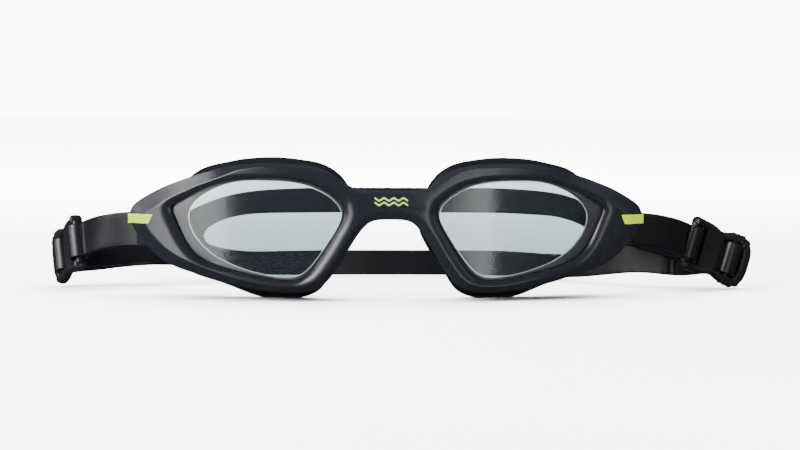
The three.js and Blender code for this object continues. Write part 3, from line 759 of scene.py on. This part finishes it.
def side_strap(side, sign):
    """The bead as a swept disc stack, the band from bead to eye, and the eye as a closed sweep."""
    socket, bar, outwards, head, bars = side_axes(side, sign)
    chord = bar - socket
    level = np.array([chord[0], chord[1], 0])
    length = np.linalg.norm(level)
    level /= length
    bowed = sign * np.array([level[1], -level[0], 0])
    slope = -outwards[2] / (outwards[:2] @ level[:2])
    t = np.linspace(.04, 1 - 2.3 / length, 90)
    drop = chord[2] * t * t * (3 - 2 * t) + slope * length * t * t * (1 - t)
    centres = (socket + t[:, None] * length * level + drop[:, None] * [0, 0, 1]
               + (BOW[side] * np.sin(math.pi * t))[:, None] * bowed)
    share = np.clip(2 * t - 1, 0, 1)[:, None]
    ups = np.array([0, 0, 1]) * (1 - share) + bars * share
    ups /= np.linalg.norm(ups, axis=1)[:, None]
    from_bar = (1 - t) * length
    swell = .26 * np.exp(-((from_bar - 4.4) / .6) ** 2)
    band = capped(sweep(centres, ups, STRAP_THICK / 2 + swell, STRAP_TALL / 2))
    angle = np.radians(np.arange(0, 360, 7.5))[:, None]
    ring = bar + EYE_REACH * (np.cos(angle) * outwards + np.sin(angle) * head)
    eye = shell(sweep(ring, np.tile(bars, (len(ring), 1)), STRAP_THICK / 2, STRAP_TALL / 2,
                      closed=True), wrap_rows=True, wrap_columns=True)
    turn = np.radians(np.arange(0, 360, 15))
    lift = np.array([-1, -.97, -.9, .9, .97, 1]) * STRAP_TALL / 2
    slim = BEAD - np.array([.5, .15, 0, 0, .15, .5])
    bead = (socket + np.stack([slim[:, None] * np.cos(turn), slim[:, None] * np.sin(turn),
                               lift[:, None] + 0 * turn], -1))
    return joined(band, eye, capped(bead))


for side, sign in (("left", -1), ("right", 1)):
    strap = piece(f"side_strap_{side}_band", side_strap(side, sign), strap_silicone.material,
                  [f"side_strap_{side}"], sharp=60)
    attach(strap, f"arm_{side}")

# --- Buckles -----------------------------------------------------------------------------------
# Hard satin slide buckles: two rails with thick lugs at the inner end, a bar for the side strap,
# a plate, a window with the bar the head strap rolls round, and a rounded rim with grip ridges.

BUCKLE_TALL = 8.9                      # half the height over the rails
LUG = 2.6                              # how far the lugs reach past the first bar
PLATE_FROM, PLATE_TO = 4.0, 12.6       # the plate between the two openings
PLATE_HALF, PLATE_DISH = 6.9, .25      # half its height, and how deep its middle is dished
WAIST_AT, WAIST = 10.8, 1.35           # the rails draw in here, by this much
RIM_FROM, BUCKLE_END = 18.0, 24.6      # the rounded rim
RIM_THICK = 1.9
OUTER_BAR, BAR_HALF = 16.6, 6.8
BUCKLE_THICK = 1.6
RIDGE_FROM, RIDGE_TO, RIDGE_PITCH = 14.6, 22.4, 1.75


def buckle_rail():
    """The outline bar: a rounded section carried from one lug along its rail, round the rim and
    back to the other lug. Ridges ripple its outer side near the rim."""
    turn = np.linspace(math.pi / 2, -math.pi / 2, 81)[1:-1]
    bulge = np.sign(np.cos(turn)) * np.abs(np.cos(turn)) ** .75
    rail_u = np.linspace(-LUG + 1.3, RIM_FROM, 80)
    top = BUCKLE_TALL - WAIST * np.exp(-((rail_u - WAIST_AT) / 3.6) ** 2)
    slim = np.interp(rail_u, [0, 4, WAIST_AT, 14, RIM_FROM], [1.45, 1.4, .95, 1.5, 1.6])
    rim_u = RIM_FROM + (BUCKLE_END - RIM_THICK - RIM_FROM) * bulge
    rim_w = (BUCKLE_TALL - 1.6) * np.sign(np.sin(turn)) * np.abs(np.sin(turn)) ** .7
    rim_wide = np.interp(bulge, [0, .5, 1], [1.6, 1.75, RIM_THICK])
    u = np.concatenate([rail_u, rim_u, rail_u[::-1]])
    w = np.concatenate([top - slim, rim_w, -(top - slim)[::-1]])
    lug = np.exp(-((u + LUG - 1.6) / 2.6) ** 2)
    ridge = (np.clip((u - RIDGE_FROM) / .8, 0, 1) * np.clip((RIDGE_TO - u) / .8, 0, 1)
             * np.cos(2 * math.pi * u / RIDGE_PITCH))
    wide = np.concatenate([slim, rim_wide, slim[::-1]]) + .25 * lug + .24 * ridge
    deep = BUCKLE_THICK + .75 * lug - .1 + .12 * ridge
    return u, w, wide, deep


def buckle_surface(side, sign):
    """The rail, the plate and the two bars of one buckle, in its own directions: u outwards, n
    towards the head and w along the bars. The rail's section is a rounded square."""
    _, bar, outwards, head, bars = side_axes(side, sign)

    def world(u, n, w):
        return (bar + np.asarray(u)[..., None] * outwards + np.asarray(n)[..., None] * head
                + np.asarray(w)[..., None] * bars)

    u, w, wide, deep = buckle_rail()
    step_u, step_w = np.gradient(u), np.gradient(w)
    size = np.hypot(step_u, step_w)
    across_u, across_w = step_w / size, -step_u / size
    turn = np.radians(np.arange(0, 360, 15))
    square = 2 / 2.9
    a = np.sign(np.cos(turn)) * np.abs(np.cos(turn)) ** square
    b = np.sign(np.sin(turn)) * np.abs(np.sin(turn)) ** square
    ends = np.ones(len(u))
    taper = np.array([.25, .62, .85, .96])
    ends[:4], ends[-4:] = taper, taper[::-1]
    off = wide[:, None] * a * ends[:, None]
    rail = world(u[:, None] + across_u[:, None] * off, deep[:, None] * b * ends[:, None],
                 w[:, None] + across_w[:, None] * off)
    shells = [capped(rail)]
    plate_u = np.linspace(PLATE_FROM, PLATE_TO, 26)[None]
    plate_w = np.linspace(-PLATE_HALF, PLATE_HALF, 30)[:, None]
    near = np.minimum((plate_u - PLATE_FROM) / .4, (PLATE_TO - plate_u) / 2.4)
    skin = 1.25 * np.sqrt(np.clip(1 - (1 - np.clip(near, 0, 1)) ** 2, .02, 1)) + .12
    dish = np.exp(-((plate_u - (PLATE_FROM + PLATE_TO) / 2) / 3.0) ** 2)
    rise = skin - PLATE_DISH * dish * (1 - (plate_w / PLATE_HALF) ** 2)
    grid_u, grid_w = plate_u + 0 * plate_w, plate_w + 0 * plate_u
    shells.append(slab(world(grid_u, -rise, grid_w), world(grid_u, rise, grid_w)))
    span = np.linspace(-BAR_HALF, BAR_HALF, 6)[:, None]
    for place in (0, OUTER_BAR):
        shells.append(capped(world(place + BAR * np.cos(turn) + 0 * span,
                                   BAR * np.sin(turn) + 0 * span, span + 0 * turn)))
    return joined(*shells)


buckle_coat = moulded("buckle_satin_plastic", (.0016, .0018, .0024), (.0036, .0039, .0049), .36,
                      2.0e-5)
for side, sign in (("left", -1), ("right", 1)):
    buckle = piece(f"buckle_{side}_slide", buckle_surface(side, sign), buckle_coat.material,
                   [f"buckle_{side}"], sharp=50)
    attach(buckle, f"clasp_{side}")

# --- Head strap --------------------------------------------------------------------------------
# One silicone strap. Its ends come through the buckles from the head side, roll round the outer
# bars and run back as free tails; behind the head a long slot parts it into two bands.

# x, y, and the heights of the lower and the upper edge, round the back from left to right.
LOOP = np.array([
    [-94.5, 71.0, 4.7, 15.9], [-84.5, 74.0, 5.9, 17.2], [-72, 79.0, 6.2, 20.5],
    [-60, 85.0, 4.2, 26.5], [-49, 92.5, 2.0, 29.9], [-36.8, 99.2, .8, 31.1], [-19, 103.5, .5, 31.5],
    [5.8, 105.0, .5, 31.5], [30, 103.5, .5, 31.5], [46, 99.5, .5, 31.5], [58, 92.2, .5, 30.9],
    [67, 83.3, .9, 29.5], [76, 73.2, 2.3, 25.0], [89, 63.5, 5.0, 17.0], [102, 57.8, 3.8, 14.9]])
SLOT, SLOT_ROUND = 6.7, 26.0               # half the slot's height, and the length of its ends
RIBBED, RIB_PITCH, RIB_RISE = 9.0, 2.4, .3    # fine ribs beside each roll
FINE = 16                                  # steps between two points of the strap's line


def roll_line(side, sign):
    """Where the strap goes at a buckle: up past the tail, round the outer bar by the front and out
    again on the head side beside the rim."""
    _, bar, outwards, head, bars = side_axes(side, sign)
    turn = np.radians(np.arange(180, 361, 30))
    u = np.concatenate([[OUTER_BAR - EYE_REACH] * 2, OUTER_BAR + EYE_REACH * np.cos(turn),
                        [OUTER_BAR + EYE_REACH - .3, OUTER_BAR + .9]])
    n = np.concatenate([[1.6, .6], EYE_REACH * np.sin(turn), [3.0, 6.4]])
    line = bar + u[:, None] * outwards + n[:, None] * head
    return line, np.tile(bars, (len(line), 1)), np.full(len(line), STRAP_TALL / 2)


left_roll, right_roll = roll_line("left", -1), roll_line("right", 1)
middle = np.column_stack([LOOP[:, :2], LOOP[:, 2:].mean(1)])
line = np.vstack([left_roll[0], middle, right_roll[0][::-1]])
upright = np.vstack([left_roll[1], np.tile([0, 0, 1.0], (len(LOOP), 1)), right_roll[1]])
tallness = np.concatenate([left_roll[2], (LOOP[:, 3] - LOOP[:, 2]) / 2, right_roll[2]])
turn = np.arange(0, len(line) - 1 + 1e-9, 1 / FINE)
centres = spline(line, turn, closed=False)
ups = np.stack([np.interp(turn, np.arange(len(line)), upright[:, k]) for k in range(3)], 1)
ups /= np.linalg.norm(ups, axis=1)[:, None]
half = np.interp(turn, np.arange(len(line)), tallness)
kernel = np.hanning(2 * FINE + 1) / np.hanning(2 * FINE + 1).sum()
half = np.convolve(np.pad(half, FINE, mode="edge"), kernel, "valid")
run = np.concatenate([[0], np.cumsum(np.linalg.norm(np.diff(centres, axis=0), axis=1))])
along = np.gradient(centres, axis=0)
across = np.cross(along, ups)
across /= np.linalg.norm(across, axis=1)[:, None]
FIRST = len(left_roll[0])
slot_from, slot_to = run[(FIRST + 3) * FINE], run[(FIRST + 12) * FINE]
from_end = np.clip(np.minimum(run - slot_from, slot_to - run) / SLOT_ROUND, 0, 1)
gap = SLOT * np.sqrt(1 - (1 - from_end) ** 2)


def rounded(distance, radius=.55):
    """Share of the full thickness at a distance from an edge with a round rim."""
    return np.sqrt(1 - (1 - np.clip(distance / radius, 0, 1)) ** 2)


def strap_part(start, stop, rows=22):
    """The strap between two places of its line: an upper and a lower band, which meet at the
    middle where there is no slot. Its two faces close on each other round every edge."""
    part = slice(start, stop + 1)
    spread = (1 - np.cos(np.linspace(0, math.pi, rows))) / 2
    shells = []
    for way in (1, -1):
        low, high = gap[part, None], half[part, None]
        level = low + (high - low) * spread
        slit = np.where(low > 0, rounded(level - low), 1.0)
        thick = STRAP_THICK / 2 * rounded(high - level) * slit
        from_roll = np.minimum(run[part] - run[FIRST * FINE], run[-1 - FIRST * FINE] - run[part])
        ribbed = np.clip(from_roll / 1.5, 0, 1) * np.clip((RIBBED - from_roll) / 1.5, 0, 1)
        wave = np.cos(2 * math.pi * run[part] / RIB_PITCH)
        ribs = (RIB_RISE * ribbed * np.clip(wave * 1.6, 0, 1))[:, None]
        mid = centres[part, None] + way * level[..., None] * ups[part, None]
        for face in (1, -1):
            proud = ribs * rounded(high - level, .9) if face > 0 else 0
            shells.append(shell(mid + face * (thick + proud)[..., None] * across[part, None]))
        for end in (0, -1):
            cap = np.stack([mid[end] + thick[end][:, None] * across[part][end],
                            mid[end] - thick[end][:, None] * across[part][end]])
            shells.append(shell(cap))
    return joined(*shells)


count = len(turn) - 1
left_in, left_leg = (FIRST + 1) * FINE, (FIRST + 5) * FINE
right_leg, right_in = count - (FIRST + 4) * FINE, count - (FIRST + 1) * FINE
turned = {"left": (FIRST - 1) * FINE, "right": count - (FIRST - 1) * FINE}
cuts = [("roll_left", 0, left_in), ("leg_left", left_in, left_leg), ("back", left_leg, right_leg),
        ("leg_right", right_leg, right_in), ("roll_right", right_in, count)]
for label, start, stop in cuts:
    strap = piece(f"head_strap_{label}", strap_part(start, stop), strap_silicone.material,
                  ["head_strap"], sharp=60)
    side = label.split("_")[-1]
    ends = [(centres[k] + MIDDLE) / 1000 for k in (start, stop)]
    if label.startswith("leg"):
        ends = ends if side == "right" else ends[::-1]
        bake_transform(strap)
    elif label.startswith("roll"):
        outer = ends[1] if side == "left" else ends[0]
        near = (centres[turned[side]] + MIDDLE) / 1000
        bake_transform(strap)
    else:
        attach(strap, "goggle_frame")

# --- Strap tails -------------------------------------------------------------------------------
# The strap's free ends. Each leaves its buckle on the head side and lies straight along the
# strap, its tip rounded.

TAIL_LONG = 38.0
TIP_ROUND = 2.2
TAIL_BEND = 14.0       # distance along the tail's slide from its start; the point there is worked out but not used


def tail_surface(side, sign):
    """A band along the tail's own slide with a rounded tip: z = h - r (1 - sqrt(1 - t^2))."""
    found = next(j for j in frame["joints"] if j["name"] == f"tail_slide_{side}")
    way = np.array(found["axis"])
    _, bar, outwards, head, bars = side_axes(side, sign)
    start = bar + (OUTER_BAR - EYE_REACH - .2) * outwards + 2.5 * head
    round_in = TIP_ROUND * (1 - np.sin(np.linspace(0, math.pi / 2, 14)))
    reach = np.concatenate([np.arange(0, TAIL_LONG - TIP_ROUND, .2), TAIL_LONG - round_in])
    centres = start + reach[:, None] * way
    tip = np.clip((reach - TAIL_LONG + TIP_ROUND) / TIP_ROUND, 0, .999)
    tall = STRAP_TALL / 2 - TIP_ROUND * (1 - np.sqrt(1 - tip ** 2))
    ups = np.tile(bars, (len(reach), 1))
    grid = sweep(centres, ups, STRAP_THICK / 2, tall)
    return capped(grid), start, start + TAIL_BEND * way


for side, sign in (("left", -1), ("right", 1)):
    surface, root, free = tail_surface(side, sign)
    tail = piece(f"strap_tail_{side}_band", surface, strap_silicone.material,
                 [f"strap_tail_{side}"], sharp=60)
    tuple((root + MIDDLE) / 1000)
    tuple((free + MIDDLE) / 1000)
    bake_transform(tail)

# --- Studio ------------------------------------------------------------------------------------
# A white sheet that brightens into the backdrop, a large soft light from the upper left, a broad
# overhead panel, and upright cards whose reflections stand in the lenses: one for the left lens
# and a row of five, each brighter than the last, for the right one.


def pale(name, colour, glow_from, glow_to, glow):
    """White paper whose own light rises between two distances behind the goggles."""
    coat = Coat(name, Roughness=.7, Specular_IOR_Level=.1)
    soft = coat.noise(3, 2)
    coat.feed("Base Color", coat.mix(soft, colour, tuple(c * .985 for c in colour)))
    spot = coat.node("ShaderNodeSeparateXYZ", {}, {0: coat.place()}, out="Y")
    rise = coat.node("ShaderNodeMapRange", {"interpolation_type": "SMOOTHSTEP"}, {
        "Value": spot, "From Min": glow_from, "From Max": glow_to})
    coat.feed("Emission Color", coat.mix(rise, (0, 0, 0), (1, 1, 1)))
    coat.shader.inputs["Emission Strength"].default_value = glow
    return coat.material


def sheet(name, corners, material):
    mesh = bpy.data.meshes.new(name)
    mesh.from_pydata(corners, [], [(0, 1, 2, 3)])
    mesh.materials.append(material)
    thing = bpy.data.objects.new(name, mesh)
    bpy.context.scene.collection.objects.link(thing)
    return thing


WHITE = (.86, .86, .86)
floor = sheet("studio_floor", [(-6, -6, 0), (6, -6, 0), (6, 8, 0), (-6, 8, 0)],
              pale("studio_paper", WHITE, .12, 1.0, 8.2))
floor.visible_glossy = False
backdrop = sheet("studio_backdrop", [(-9, 8, -1), (9, 8, -1), (9, 8, 6), (-9, 8, 6)],
                 pale("studio_card", WHITE, 1, 2, 6.8))
backdrop.visible_diffuse = backdrop.visible_glossy = False


def softbox(name, place, aim, width, height, radiance, mirrored_too=True):
    """A rectangular light turned to its aim, its power radiance times pi times its area. A light
    that isn't mirrored leaves no highlight."""
    lamp = bpy.data.lights.new(name, "AREA")
    lamp.shape = "RECTANGLE"
    lamp.size, lamp.size_y = width, height
    lamp.energy = radiance * math.pi * width * height
    thing = bpy.data.objects.new(name, lamp)
    bpy.context.scene.collection.objects.link(thing)
    thing.location = place
    away = mathutils.Vector(place) - mathutils.Vector(aim)
    thing.rotation_euler = away.to_track_quat("Z", "Y").to_euler()
    thing.visible_glossy, thing.visible_camera = mirrored_too, False


softbox("light_key", (-.777, -.593, .55), (-.03, -.03, .03), .42, .7, 46)
softbox("light_strip", (-.75, -.10, .22), (-.10, -.02, .02), .07, .5, 26)
softbox("light_fill", (.7, -.35, .3), (.05, -.02, .02), .2, .5, 3)
softbox("light_top", (0, .35, 1.2), (0, .1, 0), 2.2, 1.8, 15.5, False)
softbox("light_card_left", (-.364, -.364, 0), (-.054, -.049, 0), .17, .2, 21)
ROW_FROM, ROW_ALONG = np.array([.0885, -.4055, .02]), np.array([.0900, .0448, 0])
ROW_FACING = np.array([-.0448, .0900, 0])
for step, radiance in enumerate((2, 5, 9, 13, 17)):
    place = ROW_FROM + ROW_ALONG * (step + .5) / 5
    softbox(f"light_card_right_{step + 1}", place, place + ROW_FACING, .0201, .36, radiance)

world = bpy.data.worlds.new("studio_world")
world.use_nodes = True
world.node_tree.nodes["Background"].inputs["Color"].default_value = (.95, .97, 1, 1)
world.node_tree.nodes["Background"].inputs["Strength"].default_value = .12
bpy.context.scene.world = world

# The camera stands a little to the left and looks slightly down.
AZIMUTH, ELEVATION, TILT = math.radians(-3.5), math.radians(3.1), math.radians(.25)
DISTANCE = .7
camera_data = bpy.data.cameras.new("camera")
camera_data.lens = 102.0
camera_data.sensor_width = 36
camera_data.clip_start = .01
camera = bpy.data.objects.new("camera", camera_data)
bpy.context.scene.collection.objects.link(camera)
target = np.array([2.66, 0, 23.9]) + MIDDLE
backwards = np.array([math.sin(AZIMUTH) * math.cos(ELEVATION),
                      -math.cos(AZIMUTH) * math.cos(ELEVATION), math.sin(ELEVATION)])
camera.location = target / 1000 + backwards * DISTANCE
camera.rotation_mode = "XYZ"
camera.rotation_euler = (math.pi / 2 - ELEVATION, -TILT, AZIMUTH)
bpy.context.scene.camera = camera
